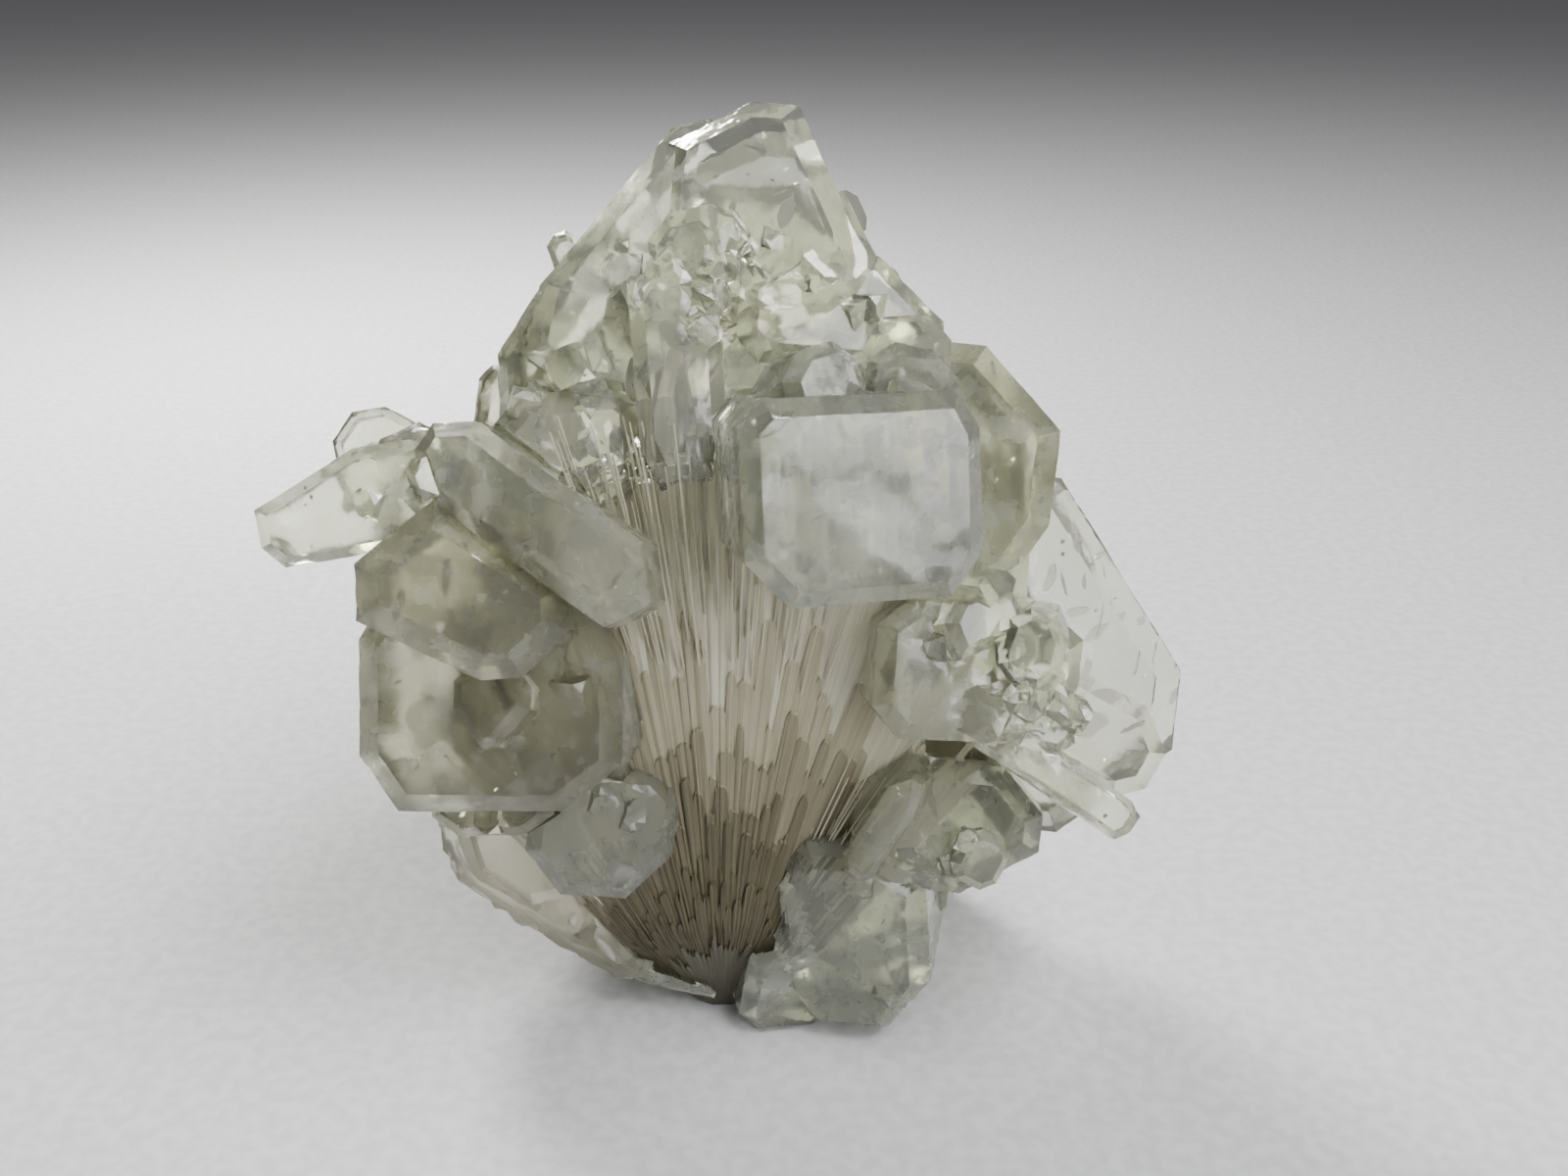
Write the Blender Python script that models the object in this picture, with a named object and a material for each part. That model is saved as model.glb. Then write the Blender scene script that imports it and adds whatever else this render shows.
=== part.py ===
"""A fluorapophyllite cluster grown round a half bow-tie fan of stilbite.

Sizes are millimetres until MM turns them into metres. +X runs to the right, +Y away from
the viewer and +Z up. The foot is cut flat at z = 0, and the fan starts there near x = y = 0.
"""

import math
import random

import bmesh
import bpy
from mathutils import Matrix, Vector

MM = 0.001
MERGE = 1e-6          # metres: points of a finished solid nearer than this are one point

# Driving dimensions of the specimen, in millimetres
GAP = 0.3            # clearance between neighbouring groups that meet face to face
FAN_SPREAD = 39.0    # half angle of the stilbite fan, degrees
FAN_BLADES = 26
FAN_ORIGIN = (-0.4, 0.0, -1.8)  # the point that all blades share
FAN_START = 1.0      # radius where the blades begin
FAN_FRONT = 4.4      # how far the thickest terrace stands in front of the origin
FAN_BACK = 5.0
TERRACE_ENDS = (11.0, 16.5, 24.0, 42.0)  # radii, the last one the tips of the blades
STEP = 0.9           # height of one terrace step
RISER = 0.35         # radial run of a step
RIPPLE = 0.25        # how far one blade stands out from the next
FAN_SEED = 5
BACK_SEED = 11
BACK_ROWS = [(5.5, 7.0, 2), (15.5, 12.5, 3), (26.0, 13.5, 3), (36.5, 9.0, 2), (44.0, 1.0, 2)]  # height, reach, count

# Colours and gloss of the two minerals
APOPHYLLITE = ("fluorapophyllite", (0.60, 0.66, 0.58, 1.0), 0.12)
STILBITE = ("stilbite", (0.50, 0.45, 0.36, 1.0), 0.45)


def clear_scene():
    for obj in list(bpy.data.objects):
        bpy.data.objects.remove(obj, do_unlink=True)


def make_collection(name):
    collection = bpy.data.collections.new(name)
    bpy.context.scene.collection.children.link(collection)
    return collection


def make_material(name, color, roughness):
    material = bpy.data.materials.new(name)
    material.use_nodes = True
    shader = material.node_tree.nodes["Principled BSDF"]
    shader.inputs["Base Color"].default_value = color
    shader.inputs["Roughness"].default_value = roughness
    shader.inputs["Metallic"].default_value = 0.0
    return material


def cut(mesh, normal, distance, merge=1e-4):
    """Cut away all that lies beyond a plane, and close the cut with one face."""
    normal = Vector(normal).normalized()
    geometry = mesh.verts[:] + mesh.edges[:] + mesh.faces[:]
    bmesh.ops.bisect_plane(
        mesh, geom=geometry, dist=merge, plane_co=normal * distance, plane_no=normal, clear_outer=True)
    rim = [edge for edge in mesh.edges if edge.is_boundary]
    if rim:
        bmesh.ops.holes_fill(mesh, edges=rim, sides=0)


def outline_sides(width, height, corners):
    """The sides of a rectangle with cut corners, as (across, up, distance) in its own plane."""
    half_w = width / 2
    half_h = height / 2
    sides = [(1, 0, half_w), (-1, 0, half_w), (0, 1, half_h), (0, -1, half_h)]
    signs = [(-1, 1), (1, 1), (1, -1), (-1, -1)]
    for (across, up), (along, down) in zip(signs, corners):
        if along <= 0 or down <= 0:
            continue
        length = math.hypot(along, down)
        side = (across * down / length, up * along / length)
        distance = abs(side[0]) * half_w + abs(side[1]) * (half_h - down)
        sides.append((*side, distance))
    return sides


def crystal(at, size, corners=(), bevel=0.6, turn=0, lean=25, roll=0):
    """One blocky or tabular crystal, as the planes that bound it.

    size is its width, depth and height. corners are the cuts of the upper left, upper right,
    lower right and lower left corner of its face, each as a width and a height. bevel is the
    narrow facet round its front and back faces. lean tips it back, turn swings it to face
    right, and roll turns it clockwise as seen from the front.
    """
    width, depth, height = size
    sides = outline_sides(width, height, corners)
    planes = [((0, -1, 0), depth / 2), ((0, 1, 0), depth / 2)]
    for across, up, distance in sides:
        planes.append(((across, 0, up), distance))
        for face in (-1, 1):
            planes.append(((across, face, up), (distance + depth / 2 - bevel) / math.sqrt(2)))
    place = (Matrix.Translation(Vector(at))
             @ Matrix.Rotation(math.radians(turn), 4, "Z")
             @ Matrix.Rotation(math.radians(-lean), 4, "X")
             @ Matrix.Rotation(math.radians(roll), 4, "Y"))
    return {"planes": planes, "reach": max(size), "place": place}


def crystal_mesh(spec, grow=0.0):
    """The solid of one crystal. grow moves every face outward, for the room that it needs."""
    mesh = bmesh.new()
    bmesh.ops.create_cube(mesh, size=2 * spec["reach"])
    for normal, distance in spec["planes"]:
        cut(mesh, normal, distance + grow)
    bmesh.ops.transform(mesh, matrix=Matrix.Scale(MM, 4) @ spec["place"], verts=mesh.verts[:])
    bmesh.ops.recalc_face_normals(mesh, faces=mesh.faces[:])
    return mesh


def add_object(name, mesh, collection, helper=False):
    data = bpy.data.meshes.new(name)
    mesh.to_mesh(data)
    mesh.free()
    obj = bpy.data.objects.new(name, data)
    collection.objects.link(obj)
    if helper:
        obj.hide_render = True
        obj.display_type = "WIRE"
    return obj


def front_block():
    """The nearest crystal: a blocky one that stands forward, with well cut corners."""
    return [
        crystal((6.9, -9.5, 41.2), (12.0, 11.5, 10.2), [(1.3, 1.3), (1.0, 2.0), (1.7, 2.0), (2.1, 2.4)],
                bevel=0.9, turn=10, lean=16),
        crystal((4.9, -7.5, 46.2), (4.4, 6.0, 3.4), [(1.4, 1.2), (1.0, 1.2)], bevel=0.7, turn=24, roll=-9),
        crystal((10.6, -7.0, 46.0), (4.8, 6.0, 3.6), [(1.2, 1.0), (1.6, 1.4)], bevel=0.7, turn=-8, roll=7),
    ]


def top_group():
    """The tall pyramid of crystals above the fan."""
    return [
        # Summit, with its long right slope
        crystal((3.4, 3.0, 51.8), (11.6, 11.0, 12.0), [(4.2, 2.6), (4.8, 8.2), (1.5, 2.0), (2.0, 2.0)],
                bevel=1.2, turn=-6, lean=26, roll=4),
        crystal((6.1, -1.0, 51.0), (5.2, 4.6, 5.6), [(1.6, 1.2), (1.4, 3.0), (1.2, 1.2), (1.6, 1.6)],
                bevel=0.9, turn=14, lean=40, roll=8),
        crystal((-0.5, -1.8, 52.0), (5.0, 4.4, 4.2), [(1.5, 1.2), (1.2, 1.2), (1.0, 1.0)],
                bevel=0.8, turn=-20, lean=12, roll=-14),
        # Long slanted plate of the left slope
        crystal((-3.3, 2.0, 49.4), (16.4, 9.0, 8.4), [(3.4, 1.8), (1.8, 1.2), (2.6, 3.0), (2.0, 3.4)],
                bevel=1.2, turn=4, lean=26, roll=-49),
        crystal((-8.2, 1.0, 51.2), (1.8, 2.4, 2.0), [(0.6, 0.5), (0.5, 0.5)], bevel=0.3, roll=-20),
        crystal((-7.5, 2.0, 44.0), (8.4, 9.0, 10.0), [(3.0, 4.0), (1.6, 1.6), (1.4, 1.4), (1.6, 2.0)],
                bevel=1.0, turn=-12, lean=20, roll=-6),
        # Block with a wide dark rim on its upper edge, left of the fan
        crystal((-8.4, -2.6, 41.0), (8.6, 7.6, 6.4), [(2.2, 2.0), (1.0, 1.0), (1.4, 1.4), (1.6, 1.6)],
                bevel=1.2, turn=8, lean=18, roll=-3),
        # Arrow-headed blade on the axis of the fan
        crystal((-1.9, -4.2, 46.6), (4.7, 4.0, 12.8), [(2.3, 3.2), (2.3, 2.8), (0.8, 2.0), (0.8, 2.0)],
                bevel=0.8, turn=6, lean=22, roll=-2),
        crystal((-4.2, -2.6, 47.6), (3.6, 3.6, 6.4), [(1.2, 1.6), (1.2, 1.0)], bevel=0.6, turn=-18, lean=20, roll=9),
        # Shoulder over the front block
        crystal((0.4, 1.2, 46.0), (11.0, 9.0, 13.4), [(2.4, 3.0), (2.4, 2.4), (1.8, 2.0), (2.0, 2.0)],
                bevel=1.0, turn=-8, lean=22, roll=5),
        crystal((6.5, 0.2, 47.5), (11.2, 9.5, 6.2), [(2.6, 2.2), (3.8, 3.2), (1.4, 1.4), (1.2, 1.2)],
                bevel=1.0, turn=8, lean=24, roll=7),
        crystal((6.4, -1.6, 44.6), (13.0, 8.0, 7.6), [(2.6, 1.8), (1.6, 1.6), (1.6, 2.0), (1.6, 1.6)],
                bevel=0.9, turn=-5, lean=26, roll=2),
    ]


def right_group():
    """The greenish crystal behind the block, the large clear plate and those between them."""
    return [
        crystal((14.3, -0.6, 38.6), (10.2, 10.0, 14.4), [(2.6, 2.4), (4.6, 4.2), (2.6, 5.0), (1.4, 1.6)],
                bevel=1.2, turn=-10, lean=22, roll=3),
        # Large clear plate, the right edge of the specimen
        crystal((22.6, 4.2, 24.4), (13.4, 6.0, 22.6), [(3.0, 3.4), (8.6, 11.4), (6.6, 6.2), (3.6, 3.6)],
                bevel=1.5, turn=-14, lean=24),
        crystal((14.6, -2.4, 27.4), (12.0, 10.0, 8.2), [(2.0, 1.6), (2.4, 2.0), (1.6, 1.6), (1.6, 1.8)],
                bevel=1.0, turn=6, lean=20, roll=6),
        crystal((18.2, -6.2, 30.6), (3.4, 5.0, 4.4), [(1.0, 0.9), (1.0, 1.4), (1.0, 1.0), (0.8, 1.0)],
                bevel=0.6, turn=-14, lean=18, roll=8),
        crystal((14.4, -5.4, 31.6), (4.6, 5.0, 3.2), [(1.2, 1.0), (1.0, 1.0)], bevel=0.6, turn=20, lean=30, roll=-12),
        crystal((21.8, -2.2, 23.2), (10.6, 7.6, 5.6), [(1.8, 1.6), (2.2, 1.8), (1.4, 1.4), (1.0, 1.0)],
                bevel=0.9, turn=-12, lean=28, roll=24),
        crystal((17.6, -5.2, 25.6), (6.4, 5.0, 3.6), [(1.4, 1.2), (1.4, 1.2), (0.8, 0.8)], bevel=0.7, turn=10, roll=20),
        crystal((12.0, 3.6, 32.0), (13.0, 10.0, 22.0), [(3.0, 4.0), (3.0, 4.0), (3.0, 4.0), (3.0, 4.0)],
                bevel=1.4, lean=8),
        # Small rod that points down and to the right
        crystal((18.5, -7.2, 23.3), (13.0, 2.6, 2.4), [(0.3, 0.3), (0.8, 0.5), (0.5, 0.8), (0.3, 0.3)],
                bevel=0.4, turn=-6, lean=34, roll=31),
    ]


def lower_right_group():
    """The rounded crystals under the rod, down to the foot."""
    return [
        crystal((14.2, -2.0, 16.2), (11.4, 9.0, 8.0), [(2.8, 2.4), (2.6, 2.6), (4.4, 3.2), (2.4, 1.8)],
                bevel=1.1, turn=-8, lean=24, roll=4),
        crystal((15.4, -6.0, 16.2), (3.2, 4.0, 3.4), [(0.9, 0.8), (0.9, 0.8), (0.8, 0.8), (0.8, 0.8)],
                bevel=0.5, turn=8, lean=20, roll=30),
        # Thin blade seen along its dark edge
        crystal((10.2, -6.0, 18.4), (2.2, 4.0, 7.4), [(0.8, 1.2), (0.6, 1.8), (0.6, 1.0), (0.6, 1.0)],
                bevel=0.4, turn=-20, lean=16, roll=26),
        crystal((8.9, -0.6, 8.4), (10.0, 9.0, 15.0), [(2.6, 3.0), (3.0, 2.4), (3.0, 4.4), (1.8, 3.4)],
                bevel=1.2, turn=-12, lean=-4, roll=-4),
        crystal((4.4, -0.4, 5.4), (7.4, 6.8, 11.0), [(3.4, 4.4), (1.8, 1.8), (2.0, 2.4), (1.4, 1.4)],
                bevel=0.9, turn=14, lean=-6, roll=8),
        crystal((10.6, 4.2, 9.4), (8.0, 9.0, 13.0), [(2.0, 2.0), (3.0, 3.0), (3.0, 4.0), (2.0, 2.0)],
                bevel=1.0, turn=20, lean=4, roll=6),
    ]


def left_group():
    """The finger, the rimmed octagon, the slanted blade and the blocky mass under them."""
    return [
        # Rough-tipped finger that points left
        crystal((-18.0, -6.4, 39.6), (12.6, 5.4, 5.6), [(5.4, 2.4), (1.2, 1.0), (1.0, 1.0), (1.0, 1.2)],
                bevel=0.6, turn=12, lean=20, roll=-5),
        crystal((-15.2, -5.4, 40.2), (5.4, 6.0, 5.0), [(1.6, 1.6), (1.4, 1.4), (1.0, 1.0), (1.0, 1.0)],
                bevel=0.8, turn=-14, lean=34, roll=14),
        # Thin clear arch behind the finger
        crystal((-19.1, -1.6, 40.1), (4.8, 1.8, 5.6), [(1.4, 1.4), (1.5, 1.3)], bevel=0.5, turn=8, roll=-8),
        crystal((-12.8, 2.2, 42.0), (2.4, 2.6, 4.6), [(0.7, 1.0), (0.6, 0.6)], bevel=0.4, turn=-10, roll=4),
        # Slanted blade in front of the fan, pointed at its lower right end
        crystal((-8.8, -9.0, 39.2), (14.8, 5.6, 4.8), [(1.8, 1.4), (2.2, 2.2), (1.2, 2.2), (2.6, 1.6)],
                bevel=0.9, turn=-8, lean=26, roll=32),
        # Dark-rimmed octagon
        crystal((-13.3, -8.6, 35.1), (11.0, 8.0, 9.6), [(4.2, 3.2), (6.6, 4.8), (2.6, 2.4), (6.2, 3.4)],
                bevel=1.4, turn=6, lean=25),
        # Blocky mass
        crystal((-13.4, -2.6, 25.2), (15.0, 11.0, 12.0), [(1.2, 2.0), (2.0, 2.6), (3.4, 2.8), (2.2, 3.2)],
                bevel=1.3, turn=5, lean=18, roll=3),
        crystal((-12.4, -7.4, 27.2), (4.6, 4.0, 4.8), [(1.2, 1.0), (1.2, 1.4), (1.8, 2.2), (1.8, 2.2)],
                bevel=0.7, turn=-10, lean=30, roll=-4),
        crystal((-8.4, 0.6, 27.6), (8.0, 8.0, 16.0), [(2.0, 3.0), (2.0, 3.0), (1.6, 2.4), (1.6, 2.4)],
                bevel=1.0, turn=-16, lean=8, roll=-8),
        crystal((-14.6, 0.6, 33.6), (11.0, 9.0, 13.0), [(3.0, 3.0), (3.0, 3.0), (2.0, 2.0), (1.6, 1.6)],
                bevel=1.2, turn=10, lean=6, roll=2),
        # Darker lens below it
        crystal((-13.6, -5.4, 19.2), (7.2, 5.0, 3.0), [(1.6, 1.0), (1.6, 1.0), (1.8, 1.2), (1.6, 1.2)],
                bevel=0.6, turn=6, lean=24, roll=2),
    ]


def lower_left_group():
    """The pale broken flap along the lower left, with the bluish crystal beside the fan."""
    return [
        crystal((-10.0, 2.8, 7.2), (22.6, 8.0, 6.6), [(2.6, 2.6), (5.0, 3.4), (6.5, 2.2), (4.0, 3.0)],
                bevel=1.2, turn=4, lean=22, roll=34),
        crystal((-7.8, -2.2, 16.2), (9.0, 7.6, 8.4), [(2.0, 1.8), (1.6, 1.6), (2.6, 3.0), (2.4, 2.6)],
                bevel=0.9, turn=10, lean=18, roll=10),
        crystal((-11.6, 2.4, 13.2), (9.0, 8.0, 9.0), [(2.0, 2.0), (2.0, 2.0), (2.4, 2.4), (2.4, 2.4)],
                bevel=1.0, turn=-12, lean=14, roll=26),
    ]


def back_group():
    """The unseen back: a mass of crystals with blocky ones standing out of it all over."""
    spread = random.Random(BACK_SEED)
    crystals = [
        crystal((1.5, 8.6, 25.0), (36.0, 8.5, 54.0), [(16.5, 16.5), (14.5, 19.0), (9.0, 11.0), (12.0, 17.0)],
                bevel=3.0, lean=2),
    ]
    for height, half_width, count in BACK_ROWS:
        for index in range(count):
            across = half_width * (2 * index / (count - 1) - 1) if count > 1 else 0.0
            place = (2.0 + across + spread.uniform(-0.8, 0.8), 12.4 - 0.006 * across ** 2,
                     height + spread.uniform(-1.0, 1.0))
            size = (spread.uniform(9.0, 12.0), spread.uniform(8.0, 10.5), spread.uniform(9.0, 12.0))
            corners = [(spread.uniform(1.2, 3.4), spread.uniform(1.2, 3.4)) for _ in range(4)]
            crystals.append(crystal(place, size, corners, bevel=spread.uniform(0.8, 1.5),
                                    turn=spread.uniform(-18, 18) - 1.4 * across, lean=spread.uniform(-24, 16),
                                    roll=spread.uniform(-40, 40)))
    return crystals


def fan_columns(room):
    """The fan's radial edges: angle, how far it stands out, where each terrace ends, and the tip."""
    spread = random.Random(FAN_SEED)
    pitch = 2 * FAN_SPREAD / FAN_BLADES
    columns = []
    for index in range(FAN_BLADES):
        left = -FAN_SPREAD + index * pitch
        reach = 0.5 + 0.5 * math.cos(math.radians(2.2 * (left + pitch / 2)))
        proud = RIPPLE if room else spread.uniform(-RIPPLE, RIPPLE)
        ragged = [1.0 if room else spread.uniform(-1.0, 1.0) for _ in range(4)]
        ends = [end * (0.35 + 0.65 * reach ** 2) + shift for end, shift in zip(TERRACE_ENDS, ragged)]
        columns.append((left + 0.1 * pitch, proud, ends))
        columns.append((left + 0.9 * pitch, proud, ends))
    return columns


def fan_front(radius, angle, level):
    """How far the front stands out: a half cone that widens, then steps down by terraces."""
    cone = min(radius * 0.42, FAN_FRONT)
    return (cone - STEP * level) * math.cos(math.radians(1.5 * angle))


def fan_back(radius, angle):
    return min(radius * 0.35, FAN_BACK) * math.cos(math.radians(1.3 * angle))


def fan_mesh(room=0.0):
    """The half bow-tie: blades that spread from one point, in terraces that step down outward.

    room makes the plain envelope that its neighbours keep clear of.
    """
    columns = fan_columns(room)
    rows = 2 * len(TERRACE_ENDS)
    mesh = bmesh.new()
    bmesh.ops.create_grid(mesh, x_segments=len(columns) - 1, y_segments=rows - 1, size=1)
    for vert in mesh.verts:
        column = round((vert.co.x + 1) / 2 * (len(columns) - 1))
        terrace, outer = divmod(round((vert.co.y + 1) / 2 * (rows - 1)), 2)
        angle, proud, ends = columns[column]
        start = ends[terrace - 1] + RISER if terrace else FAN_START
        end = ends[terrace] + (room if terrace == len(TERRACE_ENDS) - 1 else 0.0)
        radius = end if outer else start
        front = fan_front(radius, angle, terrace) + proud * min(1.0, radius / 8) + room
        edge = room * ((column == len(columns) - 1) - (column == 0))
        turned = math.radians(angle)
        vert.co = (FAN_ORIGIN[0] + radius * math.sin(turned) + edge * math.cos(turned),
                   FAN_ORIGIN[1] - front,
                   FAN_ORIGIN[2] + radius * math.cos(turned) - abs(edge) * math.sin(abs(turned)))
    back = bmesh.ops.extrude_face_region(mesh, geom=mesh.faces[:])
    for vert in [item for item in back["geom"] if isinstance(item, bmesh.types.BMVert)]:
        across, up = vert.co.x - FAN_ORIGIN[0], vert.co.z - FAN_ORIGIN[2]
        angle = math.degrees(math.atan2(across, up))
        vert.co.y = FAN_ORIGIN[1] + fan_back(math.hypot(across, up), angle) + room
    bmesh.ops.triangulate(mesh, faces=mesh.faces[:])
    bmesh.ops.transform(mesh, matrix=Matrix.Scale(MM, 4), verts=mesh.verts[:])
    bmesh.ops.recalc_face_normals(mesh, faces=mesh.faces[:])
    return mesh


def evaluated_mesh(obj):
    graph = bpy.context.evaluated_depsgraph_get()
    return bpy.data.meshes.new_from_object(obj.evaluated_get(graph))


def add_boolean(obj, operation, others):
    """Join or cut with a collection. EXACT leaves open edges in the back, so this is MANIFOLD."""
    modifier = obj.modifiers.new(operation.title(), "BOOLEAN")
    modifier.operation = operation
    modifier.solver = "MANIFOLD"
    modifier.operand_type = "COLLECTION"
    modifier.collection = others


def keep_largest_body(mesh):
    """Drop the crumbs that a cut leaves beside the main body."""
    left = set(mesh.verts)
    bodies = []
    while left:
        todo = [left.pop()]
        body = set(todo)
        while todo:
            for edge in todo.pop().link_edges:
                for vert in edge.verts:
                    if vert in left:
                        left.remove(vert)
                        body.add(vert)
                        todo.append(vert)
        bodies.append(body)
    bodies.sort(key=len)
    for body in bodies[:-1]:
        bmesh.ops.delete(mesh, geom=list(body), context="VERTS")


def flat_foot(mesh):
    """Cut the specimen off flat at the height that it stands on."""
    cut(mesh, (0, 0, -1), 0.0, merge=MERGE)


def finish(obj, material):
    """Turn a worked object into the plain mesh of its node."""
    data = evaluated_mesh(obj)
    mesh = bmesh.new()
    mesh.from_mesh(data)
    flat_foot(mesh)
    keep_largest_body(mesh)
    bmesh.ops.dissolve_degenerate(mesh, dist=MERGE, edges=mesh.edges[:])
    bmesh.ops.triangulate(mesh, faces=mesh.faces[:])
    mesh.to_mesh(data)
    mesh.free()
    obj.modifiers.clear()
    obj.data = data
    obj.data.materials.clear()
    obj.data.materials.append(material)


def build_group(name, crystals, taken, collection, helpers, material):
    """Join a group's crystals in one solid, clear of everything already placed."""
    others = bpy.data.collections.new(name + " crystals")
    helpers.children.link(others)
    for index, spec in enumerate(crystals[1:]):
        add_object(f"{name} crystal {index}", crystal_mesh(spec), others, helper=True)
    obj = add_object(name, crystal_mesh(crystals[0]), collection)
    if len(crystals) > 1:
        add_boolean(obj, "UNION", others)
    add_boolean(obj, "DIFFERENCE", taken)
    finish(obj, material)
    for index, spec in enumerate(crystals):
        add_object(f"{name} room {index}", crystal_mesh(spec, grow=GAP), taken, helper=True)
    return obj


def center_on_foot(nodes, collection):
    """Hang all nodes on one empty that brings the origin under the middle of the specimen."""
    points = [vert.co for node in nodes for vert in node.data.vertices]
    middle = [(min(axis) + max(axis)) / 2 for axis in zip(*points)]
    empty = bpy.data.objects.new("specimen_origin", None)
    empty.location = (-middle[0], -middle[1], 0)
    collection.objects.link(empty)
    for node in nodes:
        node.parent = empty


def main():
    clear_scene()
    specimen = make_collection("fluorapophyllite")
    helpers = make_collection("cutters")
    taken = bpy.data.collections.new("room taken")
    helpers.children.link(taken)
    apophyllite = make_material(*APOPHYLLITE)
    stilbite = make_material(*STILBITE)

    fan = add_object("stilbite_fan", fan_mesh(), specimen)
    finish(fan, stilbite)
    add_object("stilbite room", fan_mesh(room=GAP), taken, helper=True)
    groups = [
        ("apophyllite_front_block", front_block),
        ("apophyllite_left", left_group),
        ("apophyllite_right", right_group),
        ("apophyllite_top", top_group),
        ("apophyllite_lower_left", lower_left_group),
        ("apophyllite_lower_right", lower_right_group),
        ("apophyllite_back", back_group),
    ]
    nodes = [fan]
    for name, crystals in groups:
        nodes.append(build_group(name, crystals(), taken, specimen, helpers, apophyllite))
    center_on_foot(nodes, specimen)


main()
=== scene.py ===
# %% [markdown]
# # A fluorapophyllite cluster on a stilbite fan
#
# The real specimen is a handful of pale green, glassy crystals that grew round a half
# bow-tie of beige stilbite. Everything about its look comes from light that goes through
# it: dark rims where a facet bends the view away, bright chips, and milky veils inside.
#
# The frame holds the solids at the size estimated for the real one. Each step below
# dresses one of them.

# %% Load the frame
import math
import random

import bmesh
import bpy
from mathutils import Euler, Matrix, Vector, noise
from mathutils.bvhtree import BVHTree


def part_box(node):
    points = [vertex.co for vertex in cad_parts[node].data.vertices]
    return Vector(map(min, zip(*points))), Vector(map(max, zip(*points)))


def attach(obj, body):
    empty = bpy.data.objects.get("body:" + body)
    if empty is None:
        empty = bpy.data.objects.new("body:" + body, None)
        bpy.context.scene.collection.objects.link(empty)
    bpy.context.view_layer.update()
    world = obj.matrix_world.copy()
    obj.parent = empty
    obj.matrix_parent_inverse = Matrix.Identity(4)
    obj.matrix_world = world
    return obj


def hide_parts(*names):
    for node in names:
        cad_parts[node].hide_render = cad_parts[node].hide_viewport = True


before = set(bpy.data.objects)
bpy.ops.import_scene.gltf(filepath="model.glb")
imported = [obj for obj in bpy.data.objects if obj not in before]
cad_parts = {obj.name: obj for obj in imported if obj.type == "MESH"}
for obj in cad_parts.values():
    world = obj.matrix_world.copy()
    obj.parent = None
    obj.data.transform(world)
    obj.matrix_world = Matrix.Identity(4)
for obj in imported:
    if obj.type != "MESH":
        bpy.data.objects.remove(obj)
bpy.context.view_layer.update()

MM = 0.001
APOPHYLLITE_NODES = [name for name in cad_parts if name.startswith("apophyllite")]
FRONT_BLOCK = "apophyllite_front_block"
print("nodes to dress:", sorted(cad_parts))

# %% [markdown]
# All measures below start from one point, where the blades of the fan meet at the foot. It
# lies just under the floor, because the foot is cut flat. The fan's own box tells where it
# is across and in depth.

# %% Find the point that the fan grows from
FAN_BACK = 5.0 * MM
FAN_LEAN_TO_LEFT = 0.19 * MM
ROOT_UNDER_FLOOR = 1.8 * MM
fan_low, fan_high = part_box("stilbite_fan")
fan_middle = (fan_low[0] + fan_high[0]) / 2
fan_root = Vector((fan_middle - FAN_LEAN_TO_LEFT, fan_high[1] - FAN_BACK, -ROOT_UNDER_FLOOR))
print("fan grows from", [round(value / MM, 2) for value in fan_root], "mm")

# %% [markdown]
# The photograph looks like a close-up, seen from above by 25 degrees. Its distance isn't
# known, and about nine centimetres are assumed. So short a distance enlarges the nearest
# crystal, and the camera stands that close here too.

# %% Camera
VIEW_DOWN = math.radians(25.0)
VIEW_DISTANCE = 92.0 * MM
VIEW_MIDDLE = fan_root + Vector((4.24, 0.0, 33.0)) * MM

camera_data = bpy.data.cameras.new("camera")
camera_data.lens = 35.0
camera_data.sensor_width = 36.0
camera_data.clip_start = 5.0 * MM
camera = bpy.data.objects.new("camera", camera_data)
bpy.context.scene.collection.objects.link(camera)
camera.location = VIEW_MIDDLE + VIEW_DISTANCE * Vector((0, -math.cos(VIEW_DOWN), math.sin(VIEW_DOWN)))
camera.rotation_euler = (math.radians(90.0) - VIEW_DOWN, 0, 0)
bpy.context.scene.camera = camera
print("camera at", [round(value / MM, 1) for value in camera.location], "mm")

# %% [markdown]
# Shader maths reads best as plain arithmetic. `Signal` wraps one socket, so that
# `1 - mask * 0.4` adds its Math nodes by itself, and `Surface` makes every other node
# from its type, its settings and its inputs.

# %% Shader arithmetic
class Signal:
    """One output socket that can be used in a sum or a product."""

    def __init__(self, surface, socket):
        self.surface = surface
        self.socket = socket

    def math(self, operation, *others):
        return self.surface.make("Math", {"operation": operation}, self, *others)

    def __add__(self, other):
        return self.math("ADD", other)

    def __radd__(self, other):
        return self.math("ADD", other)

    def __sub__(self, other):
        return self.math("SUBTRACT", other)

    def __rsub__(self, other):
        return self.surface.make("Math", {"operation": "SUBTRACT"}, other, self)

    def __mul__(self, other):
        return self.math("MULTIPLY", other)

    def __rmul__(self, other):
        return self.math("MULTIPLY", other)

    def __pow__(self, other):
        return self.math("POWER", other)

    def between(self, low, high):
        """0 below low, 1 above high, and a smooth run between them."""
        return self.surface.make("MapRange", {"interpolation_type": "SMOOTHSTEP"}, self, low, high, 0.0, 1.0)


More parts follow.
